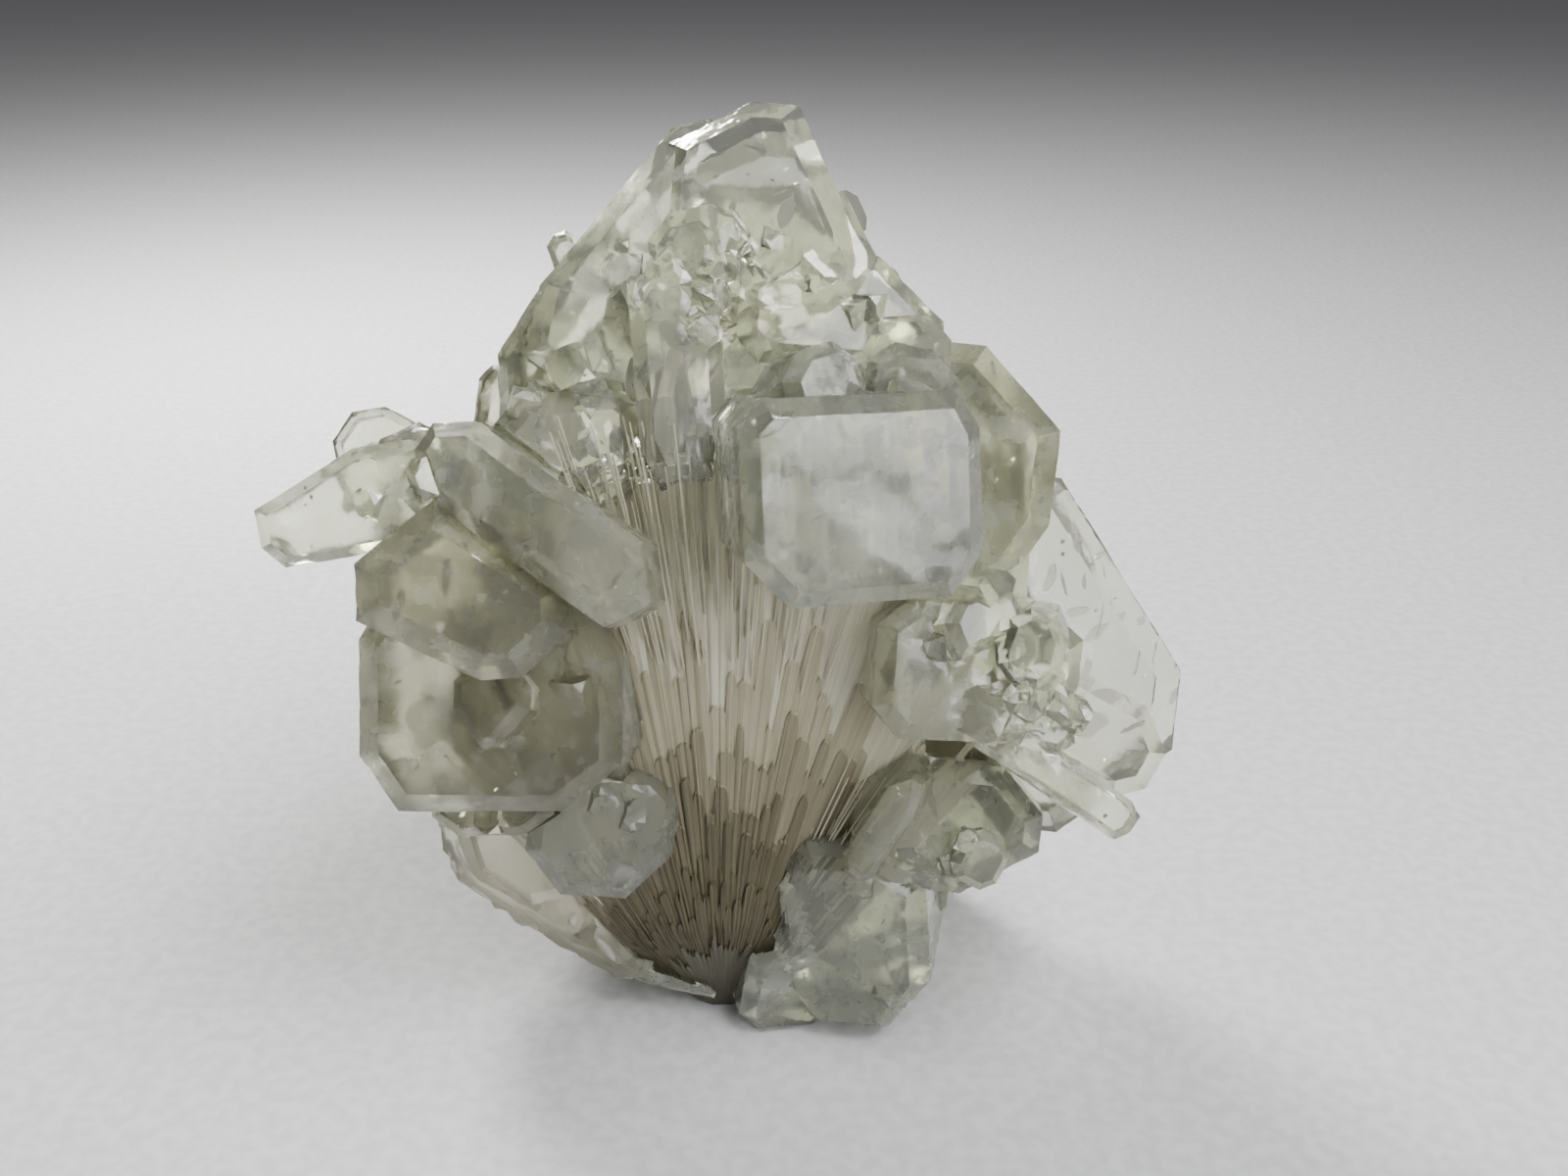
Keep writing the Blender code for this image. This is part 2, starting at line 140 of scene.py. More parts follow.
class Surface:
    """A material's node tree, with one method that makes any node."""

    def __init__(self, name):
        self.material = bpy.data.materials.new(name)
        self.material.use_nodes = True
        self.tree = self.material.node_tree
        self.tree.nodes.clear()
        self.output = self.tree.nodes.new("ShaderNodeOutputMaterial")

    def node(self, kind, settings=None, *values, **named):
        node = self.tree.nodes.new("ShaderNode" + kind)
        for key, value in (settings or {}).items():
            setattr(node, key, value)
        inputs = list(enumerate(values))
        inputs += [(key.replace("_", " "), value) for key, value in named.items()]
        for key, value in inputs:
            self.feed(node.inputs[key], value)
        return node

    def feed(self, socket, value):
        if isinstance(value, Signal):
            self.tree.links.new(value.socket, socket)
        else:
            socket.default_value = value

    def make(self, kind, settings=None, *values, output=0, **named):
        return Signal(self, self.node(kind, settings, *values, **named).outputs[output])

    def place(self):
        """Where the shaded point is, in metres, in the specimen's own frame."""
        return self.make("TexCoord", output=3)

    def noise(self, place, scale, detail=3.0, roughness=0.55):
        return self.make("TexNoise", Vector=place, Scale=scale, Detail=detail, Roughness=roughness)

    def mix(self, factor, first, second):
        """Blend two colours. Mix keeps its colour inputs at 6 and 7, and its result at 2."""
        node = self.node("Mix", {"data_type": "RGBA"})
        for index, value in ((0, factor), (6, first), (7, second)):
            self.feed(node.inputs[index], value)
        return Signal(self, node.outputs[2])

    def bump(self, height, distance, strength):
        return self.make("Bump", Height=height, Distance=distance, Strength=strength)

    def finish(self, shader, volume=None):
        self.tree.links.new(shader.socket, self.output.inputs["Surface"])
        if volume:
            self.tree.links.new(volume.socket, self.output.inputs["Volume"])
        return self.material


print("shader helpers ready")

# %% [markdown]
# The table is pale and plain. Glass shows what lies behind it, so the light does most of
# the work: a round lamp behind and to the left lights the table there and shines through
# the crystals. Two soft panels fill in from the right, above and on the viewer's side, and
# the room is dim, which leaves the rims dark. A path of light ends after six bounces, to
# keep the render short.

# %% Floor, room and lights
FLOOR_SIZE = 8.0
LOOK_AT = Vector((0, 0, 30 * MM))
ROOM_GREY = (0.57, 0.57, 0.58, 1)
ROOM_STRENGTH = 0.24
LAMP_RADIUS = 0.035
BOUNCES = 6
DULL_BOUNCES = 2


def floor_material():
    surface = Surface("pale_floor")
    grain = surface.noise(surface.place(), 900.0, detail=1.0)
    tone = surface.mix(grain.between(0.3, 0.7), (0.56, 0.56, 0.575, 1), (0.63, 0.63, 0.64, 1))
    return surface.finish(surface.make("BsdfPrincipled", Base_Color=tone, Roughness=0.85))


def add_light(name, kind, place, watts, color):
    data = bpy.data.lights.new(name, kind)
    data.energy = watts
    data.color = color
    light = bpy.data.objects.new(name, data)
    light.location = place
    light.rotation_euler = (LOOK_AT - Vector(place)).to_track_quat("-Z", "Y").to_euler()
    bpy.context.scene.collection.objects.link(light)
    return data


def add_panel(name, place, size, watts, color=(1, 1, 1)):
    data = add_light(name, "AREA", place, watts, color)
    data.shape = "DISK"
    data.size = size


bpy.ops.mesh.primitive_plane_add(size=FLOOR_SIZE)
floor = bpy.context.object
floor.name = "floor"
floor.data.materials.append(floor_material())

lamp = add_light("back_lamp", "POINT", (-0.085, 0.15, 0.14), 1.9, (1.0, 0.99, 0.95))
lamp.shadow_soft_size = LAMP_RADIUS
add_panel("top_light", (0.16, -0.12, 0.34), 0.20, 1.2)
add_panel("fill_light", (0.20, -0.32, 0.22), 0.30, 1.1, (0.97, 0.98, 1.0))

world = bpy.data.worlds.new("room")
world.use_nodes = True
background = world.node_tree.nodes["Background"]
background.inputs["Color"].default_value = ROOM_GREY
background.inputs["Strength"].default_value = ROOM_STRENGTH
scene = bpy.context.scene
scene.world = world
scene.view_settings.view_transform = "AgX"
scene.view_settings.look = "AgX - Medium High Contrast"
scene.cycles.max_bounces = BOUNCES
scene.cycles.transmission_bounces = BOUNCES
scene.cycles.diffuse_bounces = DULL_BOUNCES
scene.cycles.glossy_bounces = DULL_BOUNCES
scene.cycles.caustics_reflective = False
print("floor, room and three lights")

# %% [markdown]
# Apophyllite is glassy outside and full of fine veils inside, so a view through it is
# blurred in some places and clear in others. Rough transmission gives the blur, and plain
# volume absorption gives the green of the thick parts. Fine lines run along each crystal:
# they are a noise drawn out in one direction, and only the bump shows them.

# %% Apophyllite, a hazy glass
APOPHYLLITE_IOR = 1.535
CLEAR = 0.87
HAZE = 0.17
SMOOTHEST = 0.02
TINT_CORE = 0.55
WISP_WHITE = (0.97, 0.97, 0.91, 1)
foot_point = fan_root + Vector((0.4, 0.0, 1.8)) * MM


def spot(x, y, z):
    """A place given in millimetres from the foot's lowest point."""
    return foot_point + Vector((x, y, z)) * MM


def ball(surface, place, center, radius):
    """1 in the middle of a ball round center, and 0 outside it."""
    away = surface.make("VectorMath", {"operation": "DISTANCE"}, place, tuple(center), output=1)
    return 1 - away.between(radius * TINT_CORE * MM, radius * MM)


def apophyllite(name, pale, deep, depth_color, density, tints, grain):
    surface = Surface(name)
    place = surface.place()
    waves = surface.noise(place, 290.0, detail=1.0)
    cloud = waves.between(0.44, 0.66)
    wisps = surface.noise(place, 640.0, detail=2.0, roughness=0.62).between(0.52, 0.66)
    tone = surface.mix(cloud, pale, deep)
    veil = wisps * 0.16 + cloud * 0.06 + HAZE
    for center, radius, color, extra_haze in tints:
        inside = ball(surface, place, spot(*center), radius)
        tone = surface.mix(inside * 0.85, tone, color)
        veil = veil + inside * extra_haze
    tone = surface.mix(wisps * 0.40, tone, WISP_WHITE)
    stretched = surface.make("VectorMath", {"operation": "MULTIPLY"}, place, grain)
    lines = surface.noise(stretched, 2400.0, detail=0.0)
    relief = surface.bump(waves * 0.22 + lines * 0.07, 0.5 * MM, 0.42)
    shader = surface.make("BsdfPrincipled", Base_Color=tone, Roughness=veil.math("MAXIMUM", SMOOTHEST),
                          IOR=APOPHYLLITE_IOR, Normal=relief, Transmission_Weight=CLEAR,
                          Coat_Weight=0.5, Coat_Roughness=0.04)
    volume = surface.make("VolumeAbsorption", Color=depth_color, Density=density)
    return surface.finish(shader, volume)


print("apophyllite: index of refraction", APOPHYLLITE_IOR)

# %% [markdown]
# Some crystals have a tint of their own: an olive one, a colourless plate, a smoky block.
# Each tint is a soft ball in space round the crystal that shows it, so that one solid can
# hold several. Three small dark balls, two on the front block's upper edge and one on the
# top group, are painted shade: the facets there show the dim room and look dark. The nearest
# block is greyer than the rest, and gets a glass of its own.

# %% A glass for each group of crystals
OLIVE = (0.76, 0.76, 0.54, 1)
WATER = (0.91, 0.92, 0.86, 1)
GREY_GREEN = (0.90, 0.92, 0.79, 1)
SMOKE = (0.58, 0.57, 0.44, 1)
# Painted shade: a dark grey put on facets that look dark because they show the dim room
PAINTED_FACET_SHADE = (0.46, 0.47, 0.42, 1)
CREAM = (0.88, 0.83, 0.68, 1)
TINTS = {
    "apophyllite_right": [((14.3, -0.6, 38.6), 9.5, OLIVE, 0.06), ((23.5, 4.0, 24.0), 11.0, WATER, -0.14)],
    # The small dark ball on this group is painted shade on a facet
    "apophyllite_top": [((3.4, 3.0, 56.0), 9.0, WATER, -0.12), ((-2.5, -3.0, 42.0), 8.0, WATER, -0.12),
                        ((-1.5, -5.2, 45.2), 1.7, PAINTED_FACET_SHADE, -0.05)],
    "apophyllite_left": [((-13.0, -10.0, 34.5), 8.5, SMOKE, 0.02), ((-15.0, -6.0, 24.0), 13.0, SMOKE, 0.08)],
    "apophyllite_lower_left": [((-7.8, -3.0, 17.0), 7.0, GREY_GREEN, 0.10),
                               ((-13.0, 0.0, 7.0), 9.5, CREAM, 0.30)],
    "apophyllite_lower_right": [((8.5, -2.0, 8.0), 10.0, GREY_GREEN, 0.04)],
    # Both dark balls on the front block are painted shade on its upper facets
    FRONT_BLOCK: [((5.2, -9.6, 44.6), 2.3, PAINTED_FACET_SHADE, 0.0), ((10.6, -9.0, 44.6), 2.2, PAINTED_FACET_SHADE, 0.0)],
}
UPRIGHT_GRAIN = (1.0, 1.0, 0.12)
GRAIN = {"apophyllite_left": (0.10, 1.0, 1.0)}
GREEN_GLASS = ((0.95, 0.96, 0.83, 1), (0.87, 0.88, 0.71, 1), (0.60, 0.64, 0.38, 1), 20.0)
GREY_GLASS = ((0.93, 0.94, 0.82, 1), (0.78, 0.80, 0.67, 1), (0.60, 0.63, 0.50, 1), 22.0)


def glass_for(node):
    name, body = ("apophyllite_front_grey", GREY_GLASS) if node == FRONT_BLOCK else (node, GREEN_GLASS)
    return apophyllite(name, *body, TINTS.get(node, ()), GRAIN.get(node, UPRIGHT_GRAIN))


GLASS = {node: glass_for(node) for node in APOPHYLLITE_NODES}
print(len(GLASS), "apophyllite finishes")

# %% [markdown]
# Where big crystals meet, a crust of small ones fills the corner. They have the habit of the
# big ones: a little block whose corners are cut off. Each is half sunk in what it grew on
# and joined to it, because glass inside glass would show a dark line that isn't there.

# %% Where the small crystals sit
BITS_SEED = 4
BIT_SIZES = (0.8, 2.2)
BIT_TURN = 0.6
BIT_CORNER = 0.32
BIT_SUNK = 0.30
BIT_SPREAD = 0.7
BIT_REACH = 0.9
LOWEST_FACING = -0.3
WELD = 2e-6
BITS = {
    "apophyllite_top": [
        ((1.5, -4.5, 50.8), 3.6, 10), ((7.5, -3.2, 49.8), 2.8, 4), ((-4.5, -4.0, 51.0), 2.6, 3),
        ((-8.5, -4.0, 45.0), 3.0, 4), ((-8.0, 6.0, 50.0), 4.0, 5), ((6.0, 6.0, 50.0), 4.0, 5)],
    "apophyllite_right": [
        ((15.5, -7.5, 29.5), 3.4, 7), ((10.5, -4.5, 20.5), 2.5, 5), ((19.0, -6.5, 25.6), 3.2, 5),
        ((17.0, -4.5, 34.0), 3.0, 3)],
    "apophyllite_left": [
        ((-15.5, -7.5, 42.0), 3.4, 6), ((-8.5, -9.0, 30.0), 3.0, 4), ((-13.5, -9.0, 22.0), 3.0, 4)],
    "apophyllite_lower_left": [((-6.0, -6.0, 20.0), 2.6, 4)],
    "apophyllite_lower_right": [
        ((13.0, -8.0, 16.0), 3.6, 6), ((9.0, -7.0, 14.5), 2.6, 3), ((8.0, -6.0, 3.0), 3.4, 4)],
    FRONT_BLOCK: [((9.0, -9.0, 47.5), 3.0, 3)],
    "apophyllite_back": [
        ((-10.0, 15.0, 30.0), 6.0, 8), ((8.0, 15.0, 22.0), 6.0, 8), ((2.0, 15.0, 42.0), 5.0, 6)],
}
print(sum(count for places in BITS.values() for _, _, count in places), "small crystals to try")

# %% [markdown]
# A small crystal is placed near a corner, moved to the closest point of the surface and
# sunk into it. It is left out where it would reach past the solid's own box or hang
# underneath. The union is made one by one, and any that leaves the mesh open is skipped.

# %% Small crystals joined to a solid
def add_bit(mesh, place, size, draw):
    turn = Euler([draw.uniform(-BIT_TURN, BIT_TURN) for _ in range(3)]).to_matrix().to_4x4()
    shape = Matrix.Diagonal((size * draw.uniform(0.8, 1.5), size, size * draw.uniform(0.8, 1.4), 1.0))
    corners = bmesh.ops.create_cube(mesh, size=1.0, matrix=Matrix.Translation(place) @ turn @ shape)["verts"]
    bmesh.ops.bevel(mesh, geom=corners, offset=BIT_CORNER * size, affect="VERTICES", clamp_overlap=True)


def temporary_object(mesh):
    data = bpy.data.meshes.new("temporary")
    mesh.to_mesh(data)
    mesh.free()
    item = bpy.data.objects.new("temporary", data)
    bpy.context.scene.collection.objects.link(item)
    return item


def join_solids(host, bits):
    """Join the bits to the host one by one, and skip any that would leave the mesh open."""
    for bit in bits:
        modifier = host.modifiers.new("join", "BOOLEAN")
        modifier.operation = "UNION"
        modifier.solver = "MANIFOLD"
        modifier.object = bit
        evaluated = host.evaluated_get(bpy.context.evaluated_depsgraph_get())
        joined = bmesh.new()
        joined.from_mesh(evaluated.to_mesh())
        evaluated.to_mesh_clear()
        host.modifiers.clear()
        if joined.faces and all(edge.is_manifold for edge in joined.edges):
            joined.to_mesh(host.data)
        joined.free()
    result = bmesh.new()
    result.from_mesh(host.data)
    return result


def with_small_crystals(node):
    """A mesh of the node's solid, with small crystals joined to it."""
    draw = random.Random(BITS_SEED + len(node))
    low, high = (Vector(corner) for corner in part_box(node))
    solid = bmesh.new()
    solid.from_mesh(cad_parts[node].data)
    tree = BVHTree.FromBMesh(solid)
    bits = []
    for center, radius, count in BITS[node]:
        for _ in range(count):
            aside = Vector([draw.uniform(-radius, radius) for _ in range(3)])
            place, facing = tree.find_nearest(spot(*center) + aside * MM * BIT_SPREAD)[:2]
            size = draw.uniform(*BIT_SIZES) * MM
            reach = Vector((size, size, size)) * BIT_REACH
            inside = all(low[i] < (place - reach)[i] and (place + reach)[i] < high[i] for i in range(3))
            if inside and facing.z > LOWEST_FACING and place.z > 2 * size:
                bit = bmesh.new()
                add_bit(bit, place - facing * size * BIT_SUNK, size, draw)
                bits.append(temporary_object(bit))
    bmesh.ops.remove_doubles(solid, verts=solid.verts[:], dist=WELD)
    host = temporary_object(solid)
    joined = join_solids(host, bits)
    for item in [host] + bits:
        bpy.data.objects.remove(item)
    return joined


print("small crystals ready")

# %% [markdown]
# A real crystal face is never quite flat and its edges are never quite straight. Each
# solid is copied and its faces are divided finely enough to bend by a few hundredths of a
# millimetre. Edges are chipped here and there. Where a crystal is broken, as on the tip of
# the finger and on the flap, its surface is torn up into small facets that glitter.

# %% Bend, chip and tear
CELL = 0.80 * MM
DIVIDE_PASSES = 5
WARP = 0.06 * MM
WARP_WIDE = 3.2 * MM
WARP_FINE = 1.1 * MM
CHIP = 0.10 * MM
CHIP_LENGTH = 0.9 * MM
SHARP = math.radians(22.0)
TEAR_FINE = 0.75 * MM
TEAR_WIDE = 2.0 * MM
TEAR_RIM = 2.5


def divide_long_edges(mesh, longest):
    """Halve the long edges a few times; slivers between points in line never get short enough."""
    for _ in range(DIVIDE_PASSES):
        long_edges = [edge for edge in mesh.edges if edge.calc_length() > longest]
        bmesh.ops.subdivide_edges(mesh, edges=long_edges, cuts=1)
        bmesh.ops.triangulate(mesh, faces=[face for face in mesh.faces if len(face.verts) > 3])


def chip_edges(mesh):
    """Press the sharp edges in by an uneven amount, most where the noise is high."""
    mesh.normal_update()
    pressed = {}
    for edge in mesh.edges:
        if edge.is_manifold and edge.is_convex and edge.calc_face_angle() > SHARP:
            for vert in edge.verts:
                pressed[vert] = 1.6 * max(0.0, noise.noise(vert.co / CHIP_LENGTH) - 0.12)
    for vert, amount in pressed.items():
        vert.co -= vert.normal * CHIP * amount


def tear(mesh, center, radius, depth):
    """Break the surface inside a ball into steep little facets."""
    middle = spot(*center)
    for vert in mesh.verts:
        away = (vert.co - middle).length / (radius * MM)
        if away < 1:
            push = noise.noise_vector(vert.co / TEAR_FINE) + 0.6 * noise.noise_vector(vert.co / TEAR_WIDE)
            vert.co += push * depth * MM * min(1.0, TEAR_RIM * (1 - away))


def warp(mesh, seed):
    """Bend the faces a little, differently for each seed, and keep the foot on the floor."""
    offset = Vector((seed * 1.7, seed * 3.1, seed * 5.3))
    for vert in mesh.verts:
        push = noise.noise_vector(vert.co / WARP_WIDE + offset)
        fine = noise.noise_vector(vert.co / WARP_FINE + offset)
        vert.co += WARP * (push + 0.4 * fine)
        vert.co.z = max(vert.co.z, 0.0)


print("faces are divided to", round(CELL / MM, 2), "mm")

# %% [markdown]
# The broken places are listed: where each one is, how wide, and how deep it is
# torn. Edges flatter than nine degrees are shaded smooth, which hides the divisions, and
# the sharper ones between two facets stay crisp.

# %% Dress the seven groups of crystals
CRYSTAL_SMOOTH = 9.0
FLAT_ENOUGH = math.radians(0.6)
TORN = [
    # Tip of the finger, and the crust above the octagon
    ((-24.6, -6.6, 36.2), 3.0, 0.42), ((-17.5, -5.0, 41.0), 2.6, 0.22), ((-14.0, -6.5, 42.5), 2.6, 0.22),
    # Pale flap at the lower left
    ((-18.0, 0.5, 5.5), 6.5, 0.32), ((-11.0, -1.5, 4.0), 6.5, 0.30), ((-21.5, 2.0, 11.5), 5.5, 0.30),
    # Crusts under the summit and beside the clear plate
    ((1.5, -4.0, 50.4), 4.2, 0.30), ((-3.8, -5.0, 51.8), 2.6, 0.22), ((15.8, -7.8, 29.2), 3.6, 0.26),
    ((19.0, -6.4, 25.6), 3.6, 0.26),
    # Upper edge of the front block, and the big block on the left
    ((8.6, -9.5, 45.4), 2.6, 0.18), ((-12.0, -9.5, 24.5), 3.2, 0.18),
    # Lower ends of the crystals over the fan
    ((-2.0, -5.0, 41.0), 3.2, 0.55), ((-7.0, -4.5, 41.0), 3.2, 0.55),
    # Crystals low down on both sides
    ((-6.0, -5.5, 20.5), 2.6, 0.24), ((10.5, -5.0, 2.0), 3.2, 0.26), ((12.0, -7.5, 14.0), 2.6, 0.20),
]


def add_piece(name, mesh, materials, smooth_angle, replaced=None):
    data = bpy.data.meshes.new(name)
    mesh.to_mesh(data)
    mesh.free()
    for material in materials:
        data.materials.append(material)
    data.shade_smooth()
    data.set_sharp_from_angle(angle=math.radians(smooth_angle))
    piece = bpy.data.objects.new(name, data)
    bpy.context.scene.collection.objects.link(piece)
    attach(piece, "root")
    if replaced:
        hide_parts(replaced)
    print(f"{name}: {len(data.polygons)} faces")


def crystal_piece(node, seed):
    mesh = with_small_crystals(node)
    bmesh.ops.remove_doubles(mesh, verts=mesh.verts[:], dist=WELD)
    bmesh.ops.dissolve_limit(mesh, angle_limit=FLAT_ENOUGH, verts=mesh.verts[:], edges=mesh.edges[:])
    bmesh.ops.triangulate(mesh, faces=mesh.faces[:])
    divide_long_edges(mesh, CELL)
    chip_edges(mesh)
    for center, radius, depth in TORN:
        tear(mesh, center, radius, depth)
    warp(mesh, seed)
    add_piece(node + "_grown", mesh, [GLASS[node]], CRYSTAL_SMOOTH, node)


for seed, node in enumerate(APOPHYLLITE_NODES):
    crystal_piece(node, seed + 1)

# %% [markdown]
# The sparkle inside comes from cracks. Each crack is a ragged, slightly curved sheet thinner
# than a hair, which mirrors the light at some angles and is nearly unseen at others. A ray
# that leaves a point and crosses the surface an odd number of times started inside it, which
# is how a place for a sheet is found.

# %% Thin ragged sheets
SHEET_CORNERS = 15
SHEET_THICKNESS = 0.03 * MM
SHEET_STRETCH = (0.35, 1.0)
SHEET_BEND = 0.25
SHEET_RAGGED = (0.62, 1.0)
RAY = Vector((0.31, 0.24, 0.92))
PAST_THE_SURFACE = 1e-6
MOST_CROSSINGS = 40


def room_inside(tree, point):
    """Distance to the crystal's surface for a point inside it, and 0 for one outside."""
    start = Vector(point)
    crossings = 0
    while crossings < MOST_CROSSINGS:
        hit = tree.ray_cast(start, RAY)
        if hit[0] is None:
            break
        crossings += 1
        start = hit[0] + RAY * PAST_THE_SURFACE
    if crossings % 2 == 0:
        return 0.0
    return tree.find_nearest(point)[3]


def add_sheet(mesh, center, facing, radius, draw):
    """Two ragged, slightly bent disks a little apart, closed round the rim."""
    first = facing.orthogonal().normalized()
    second = facing.cross(first)
    stretch = draw.uniform(*SHEET_STRETCH)
    bend = draw.uniform(-SHEET_BEND, SHEET_BEND)
    lift = facing * SHEET_THICKNESS
    under = []
    for corner in range(SHEET_CORNERS):
        turn = 2 * math.pi * corner / SHEET_CORNERS
        reach = radius * draw.uniform(*SHEET_RAGGED)
        flat = reach * (math.cos(turn) * first + stretch * math.sin(turn) * second)
        under.append(mesh.verts.new(center + flat + facing * bend * flat.length ** 2 / radius))
    over = [mesh.verts.new(vert.co + lift) for vert in under]
    low = mesh.verts.new(center)
    high = mesh.verts.new(center + lift)
    for corner in range(SHEET_CORNERS):
        after = (corner + 1) % SHEET_CORNERS
        mesh.faces.new((low, under[after], under[corner]))
        mesh.faces.new((high, over[corner], over[after]))
        mesh.faces.new((under[corner], under[after], over[after], over[corner]))


print("sheets are", round(SHEET_THICKNESS / MM, 3), "mm thick")

# %% [markdown]
# A crack is clear and bends light strongly, a milky veil is the same sheet with a rough
# white surface, and a glint is a tiny one that mirrors. All three lie well inside the
# crystals. Their places are random, from a fixed seed.

# %% Cracks, veils and glints inside the crystals
SHEET_SEED = 21
SHEET_SMOOTH = 30.0
SHEETS = {
    "apophyllite_top": (50, 14, 70),
    FRONT_BLOCK: (40, 5, 46),
    "apophyllite_right": (44, 10, 60),
    "apophyllite_left": (50, 12, 70),
    "apophyllite_lower_left": (20, 7, 30),
    "apophyllite_lower_right": (28, 8, 40),
    "apophyllite_back": (20, 6, 40),
}
LARGEST_SHEETS = (1.25 * MM, 2.2 * MM, 0.26 * MM)
TRIES_FOR_EACH = 30
ROOM_NEEDED = 0.5 * MM
ROOM_USED = 0.92


def crack_material():
    surface = Surface("crack")
    relief = surface.bump(surface.noise(surface.place(), 1500.0, detail=3.0), 0.05 * MM, 0.5)
    return surface.finish(surface.make("BsdfPrincipled", Base_Color=(0.97, 0.98, 0.96, 1), Roughness=0.03,
                                       IOR=2.0, Normal=relief, Transmission_Weight=0.95))


def veil_material():
    surface = Surface("veil")
    mottle = surface.noise(surface.place(), 700.0, detail=4.0)
    tone = surface.mix(mottle, (0.80, 0.82, 0.76, 1), (0.97, 0.97, 0.94, 1))
    return surface.finish(surface.make("BsdfPrincipled", Base_Color=tone, Roughness=0.55, IOR=1.15,
                                       Transmission_Weight=0.86))


def glint_material():
    surface = Surface("glint")
    mottle = surface.noise(surface.place(), 900.0, detail=1.0)
    tone = surface.mix(mottle, (0.84, 0.85, 0.80, 1), (1.0, 1.0, 0.97, 1))
    return surface.finish(surface.make("BsdfPrincipled", Base_Color=tone, Metallic=1.0, Roughness=0.22))


def inner_sheets():
    draw = random.Random(SHEET_SEED)
    cracks, veils, glints = bmesh.new(), bmesh.new(), bmesh.new()
    for node, counts in SHEETS.items():
        solid = bmesh.new()
        solid.from_mesh(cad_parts[node].data)
        tree = BVHTree.FromBMesh(solid)
        solid.free()
        low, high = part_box(node)
        for mesh, count, largest in zip((cracks, veils, glints), counts, LARGEST_SHEETS):
            placed = 0
            for _ in range(count * TRIES_FOR_EACH):
                point = Vector([draw.uniform(low[axis], high[axis]) for axis in range(3)])
                room = room_inside(tree, point)
                if room < ROOM_NEEDED:
                    continue
                facing = Vector([draw.gauss(0, 1) for _ in range(3)]).normalized()
                add_sheet(mesh, point, facing, min(largest, room * ROOM_USED) * draw.uniform(0.6, 1.0), draw)
                placed += 1
                if placed == count:
                    break
    add_piece("inner_cracks", cracks, [crack_material()], SHEET_SMOOTH)
    add_piece("inner_veils", veils, [veil_material()], SHEET_SMOOTH)
    add_piece("inner_glints", glints, [glint_material()], SHEET_SMOOTH)


inner_sheets()

# %% [markdown]
# Stilbite grows as sheaves of thin blades. The half bow-tie shows hundreds of fibres that
# spread from one point, bundled in rounded tongues. It is dark brown at the point and nearly
# white at the tips, so it gets six tones. Their streaks are noise measured in angle and
# radius round the point, which makes them run outward.

# %% Stilbite finishes
STILBITE_IOR = 1.50


def stilbite(name, pale, deep, clear):
    surface = Surface(name)
    place = surface.make("VectorMath", {"operation": "SUBTRACT"}, surface.place(), tuple(fan_root))
    axes = surface.node("SeparateXYZ", {}, place)
    across, depth, up = (Signal(surface, socket) for socket in axes.outputs)
    radius = (across * across + up * up) ** 0.5
    angle = across.math("ARCTAN2", up)
    bundles = surface.make("CombineXYZ", {}, angle * 70.0, radius * 70.0, depth * 200.0)
    coarse = surface.noise(bundles, 1.0).between(0.40, 0.66)
    threads = surface.make("CombineXYZ", {}, angle * 300.0, radius * 60.0, depth * 300.0)
    fibres = surface.noise(threads, 1.0, detail=5.0)
    blotch = surface.noise(place, 420.0, detail=3.0).between(0.45, 0.7)
    shade = fibres.between(0.36, 0.62) * 0.55 + coarse * 0.30 + blotch * 0.15
    tone = surface.mix(shade, pale, deep)
    relief = surface.bump(fibres, 0.14 * MM, 0.55)
    return surface.finish(surface.make("BsdfPrincipled", Base_Color=tone, Roughness=fibres * 0.30 + 0.22,
                                       IOR=STILBITE_IOR, Normal=relief, Transmission_Weight=clear))


STILBITE = [
    stilbite("stilbite_point", (0.22, 0.21, 0.16, 1), (0.16, 0.15, 0.11, 1), 0.25),
    stilbite("stilbite_brown", (0.20, 0.18, 0.12, 1), (0.14, 0.12, 0.075, 1), 0.30),
    stilbite("stilbite_tongues", (0.27, 0.24, 0.17, 1), (0.18, 0.16, 0.10, 1), 0.30),
    stilbite("stilbite_straw", (0.45, 0.41, 0.30, 1), (0.31, 0.28, 0.19, 1), 0.35),
    stilbite("stilbite_blades", (0.66, 0.62, 0.47, 1), (0.46, 0.42, 0.30, 1), 0.35),
    stilbite("stilbite_tips", (0.98, 0.95, 0.80, 1), (0.72, 0.68, 0.52, 1), 0.38),
]
print("stilbite in", len(STILBITE), "tones")

# %% [markdown]
# The fan is one sheet of narrow columns, bent round the point at the foot. A few columns
# make a tongue with a rounded end, and the tongues end at different lengths. A short
# tongue lies on a longer one, so each end is a small step down.

# %% Columns and tongues of the fan
FAN_SPREAD = 39.0
COLUMNS = 380
TONGUE_ENDS = (9.0, 13.5, 17.0, 20.5, 25.0, 30.0, 42.0)
TONGUE_MATERIALS = (0, 1, 1, 2, 3, 4, 5)
TONGUE_NARROWEST = 5
TONGUE_WIDEST = 17
GROOVE_WIDEST = 7
TONGUE_SHIFT = 0.13
TONGUE_ROUNDING = 0.55
JITTER = 0.05
LEAST_STEP = 0.5
FAN_SEED = 8


def tongues(draw, widest):
    """Split the columns into tongues; each column gets its tongue's shift and its place across it."""
    column = 0
    shifts = []
    while column < COLUMNS:
        width = draw.randint(TONGUE_NARROWEST, widest)
        shift = draw.uniform(-1, 1)
        proud = draw.uniform(-1, 1)
        for part in range(width):
            shifts.append((shift, proud, 2 * part / (width - 1) - 1))
        column += width
    return shifts[:COLUMNS]


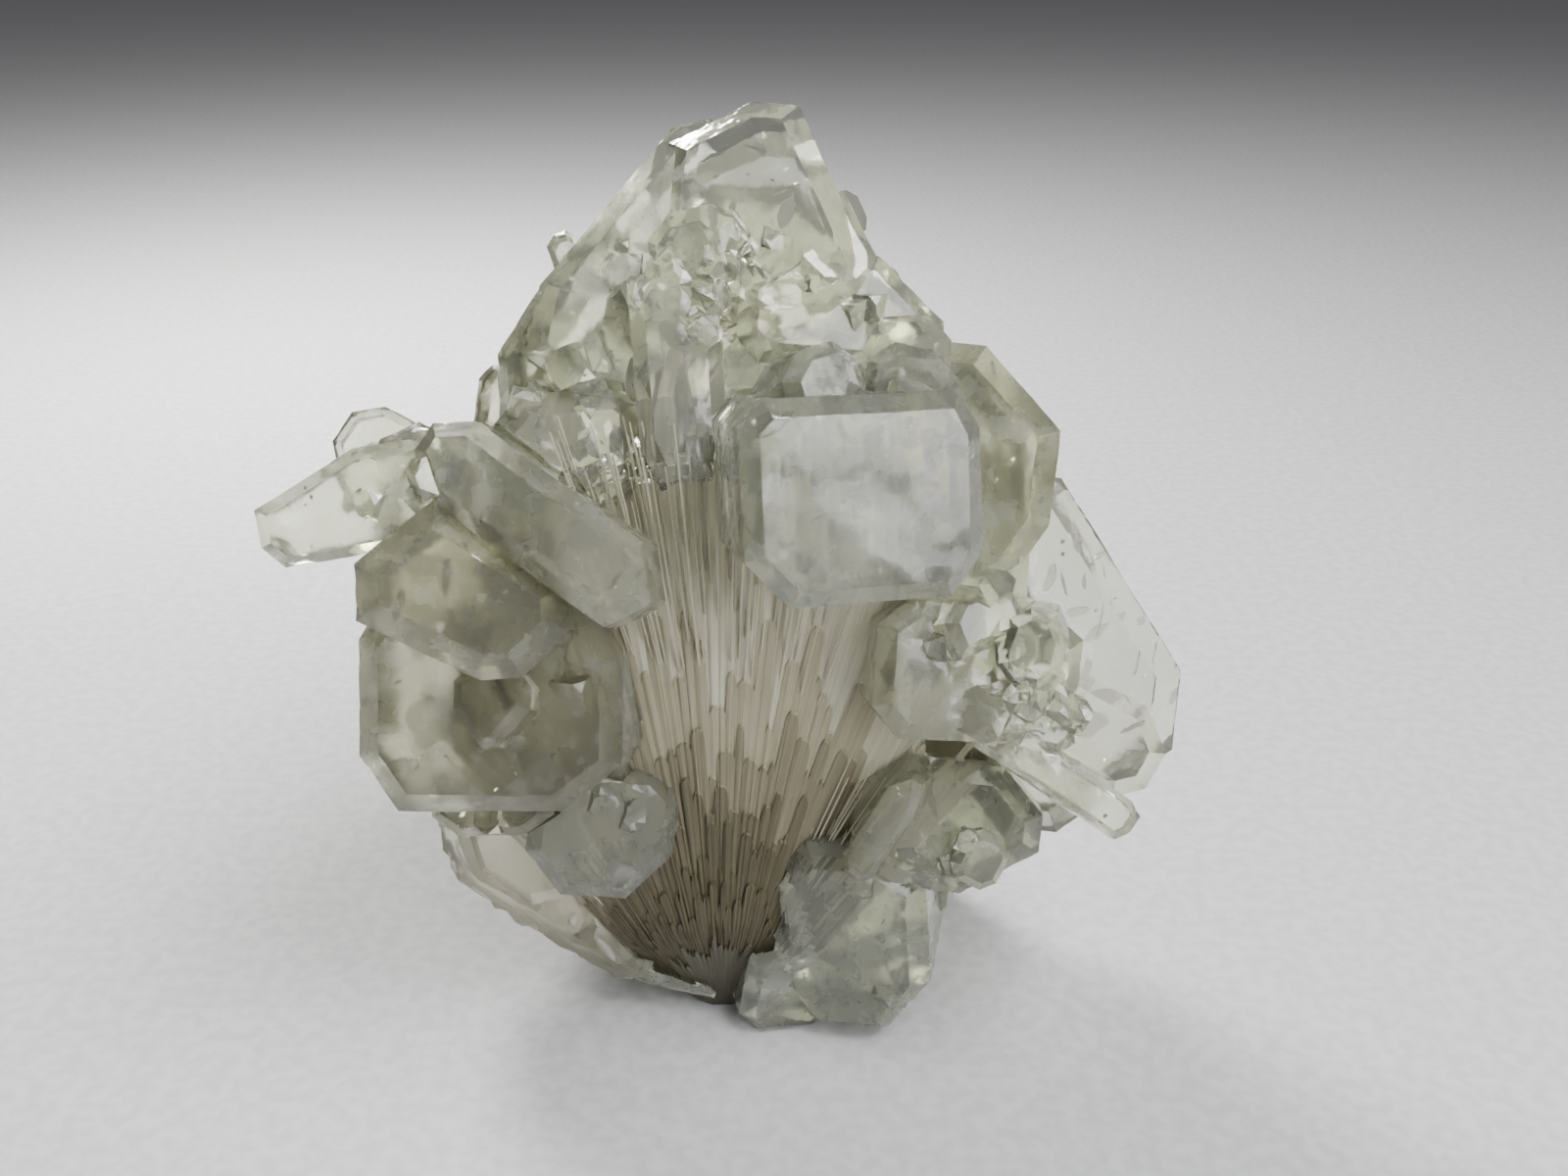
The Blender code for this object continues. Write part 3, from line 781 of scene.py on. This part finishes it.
def fan_columns():
    """Angle, heights and step radii of each column."""
    draw = random.Random(FAN_SEED)
    layers = [tongues(draw, TONGUE_WIDEST - layer) for layer in range(len(TONGUE_ENDS))]
    grooves = tongues(draw, GROOVE_WIDEST)
    columns = []
    for column in range(COLUMNS):
        angle = -FAN_SPREAD + 2 * FAN_SPREAD * column / (COLUMNS - 1)
        reach = 0.5 + 0.5 * math.cos(math.radians(2.0 * angle))
        jitter = draw.uniform(-JITTER, JITTER)
        ends, heights = [], []
        for layer, end in zip(layers, TONGUE_ENDS):
            shift, proud, side = layer[column]
            length = end * (0.35 + 0.65 * reach ** 2) + shift * end * TONGUE_SHIFT
            ends.append(length - TONGUE_ROUNDING * side ** 4 + jitter)
            heights.append(0.05 * proud - 0.04 * side ** 4 - 0.05 * grooves[column][2] ** 2 + 0.5 * jitter)
        for index in range(1, len(ends)):
            ends[index] = max(ends[index], ends[index - 1] + LEAST_STEP)
        columns.append((angle, heights, ends))
    return columns


print(COLUMNS, "columns in", len(TONGUE_ENDS), "layers of tongues")

# %% [markdown]
# Seen from the side the fan is a wedge: it grows thicker from the point until it reaches
# its full depth, and thins again toward its two edges. The grid of columns is laid on the
# front of that wedge, and the same grid pushed to the back closes it.

# %% Fan of blades
FAN_START = 1.9
STEP_HEIGHT = 0.16
STEP_WIDTH = 0.12
FRONT_SLOPE, FRONT_DEPTH, FRONT_CLOSING = 0.42, 4.4, 1.5
BACK_SLOPE, BACK_DEPTH, BACK_CLOSING = 0.35, 5.0, 1.3
ROWS_IN_TONGUE = 3
FULL_RELIEF_RADIUS = 16
BLADES_SMOOTH = 35.0


def fan_front(radius, angle, step):
    depth = min(radius * FRONT_SLOPE, FRONT_DEPTH) - STEP_HEIGHT * step
    return depth * math.cos(math.radians(FRONT_CLOSING * angle))


def fan_back(radius, angle):
    return min(radius * BACK_SLOPE, BACK_DEPTH) * math.cos(math.radians(BACK_CLOSING * angle))


def fan_point(angle, radius, depth):
    turned = math.radians(angle)
    point = fan_root + MM * Vector((radius * math.sin(turned), depth, radius * math.cos(turned)))
    point.z = max(point.z, 0.0)
    return point


def fan_piece():
    columns = fan_columns()
    rows = ROWS_IN_TONGUE * len(TONGUE_ENDS)
    mesh = bmesh.new()
    bmesh.ops.create_grid(mesh, x_segments=COLUMNS - 1, y_segments=rows - 1, size=1)
    step_of = {}
    for vert in mesh.verts:
        column = round((vert.co.x + 1) / 2 * (COLUMNS - 1))
        step, part = divmod(round((vert.co.y + 1) / 2 * (rows - 1)), ROWS_IN_TONGUE)
        angle, heights, ends = columns[column]
        start = ends[step - 1] + STEP_WIDTH if step else FAN_START
        radius = max(start + (ends[step] - start) * part / (ROWS_IN_TONGUE - 1), FAN_START)
        front = fan_front(radius, angle, step) + heights[step] * min(1.0, radius / FULL_RELIEF_RADIUS)
        vert.co = fan_point(angle, radius, -front)
        step_of[vert] = step
    for face in mesh.faces:
        face.material_index = TONGUE_MATERIALS[max(step_of[vert] for vert in face.verts)]
    back = bmesh.ops.extrude_face_region(mesh, geom=mesh.faces[:])
    for vert in [item for item in back["geom"] if isinstance(item, bmesh.types.BMVert)]:
        across, up = (vert.co.x - fan_root.x) / MM, (vert.co.z - fan_root.z) / MM
        vert.co.y = fan_root.y + MM * fan_back(math.hypot(across, up), math.degrees(math.atan2(across, up)))
    bmesh.ops.recalc_face_normals(mesh, faces=mesh.faces[:])
    add_piece("stilbite_blades", mesh, STILBITE, BLADES_SMOOTH, "stilbite_fan")


fan_piece()

# %% [markdown]
# The longest blades run on as loose needles into the crystals that grew over them, and can
# be seen through the glass. Finer ones lie along the fan's two edges. Each group below is
# a range of angles, the radii where its needles start and end, how many there are, and how
# far forward the last ones reach.

# %% Needles
NEEDLE_SEED = 12
NEEDLE_GROUPS = [
    (-9.5, 3.5, 38, 47.5, 64, 7.9),
    (-34, -24, 20, 30, 40, 3.6),
    (18, 33, 14, 26, 36, 3.8),
    (3, 14, 36, 45, 30, 6.0),
]
NEEDLE_SIDES = 5
NEEDLE_TAPER = 0.5
NEEDLE_THICKNESS = (0.05, 0.11)
NEEDLE_LAYER = 5.0
NEEDLE_SUNK = 0.2
NEEDLES_SMOOTH = 40.0


def add_needle(mesh, angle, start, end, near, far, thickness):
    low, high = fan_point(angle, start, -near), fan_point(angle, end, -far)
    along = (high - low).to_track_quat("Z", "Y").to_matrix().to_4x4()
    bmesh.ops.create_cone(mesh, cap_ends=True, segments=NEEDLE_SIDES, radius1=thickness * MM,
                          radius2=thickness * NEEDLE_TAPER * MM, depth=(high - low).length,
                          matrix=Matrix.Translation((low + high) / 2) @ along)


def needles():
    draw = random.Random(NEEDLE_SEED)
    mesh = bmesh.new()
    for left, right, first, last, count, farthest in NEEDLE_GROUPS:
        for _ in range(count):
            angle = draw.uniform(left, right)
            start = first - draw.uniform(0.5, 9)
            end = draw.uniform(first + 4, last)
            near = fan_front(start, angle, NEEDLE_LAYER) - NEEDLE_SUNK
            far = near + (farthest - near) * (end - start) / (last - first) * draw.uniform(0.7, 1.0)
            add_needle(mesh, angle, start, end, near, far, draw.uniform(*NEEDLE_THICKNESS))
    add_piece("stilbite_needles", mesh, [STILBITE[-1]], NEEDLES_SMOOTH)


needles()
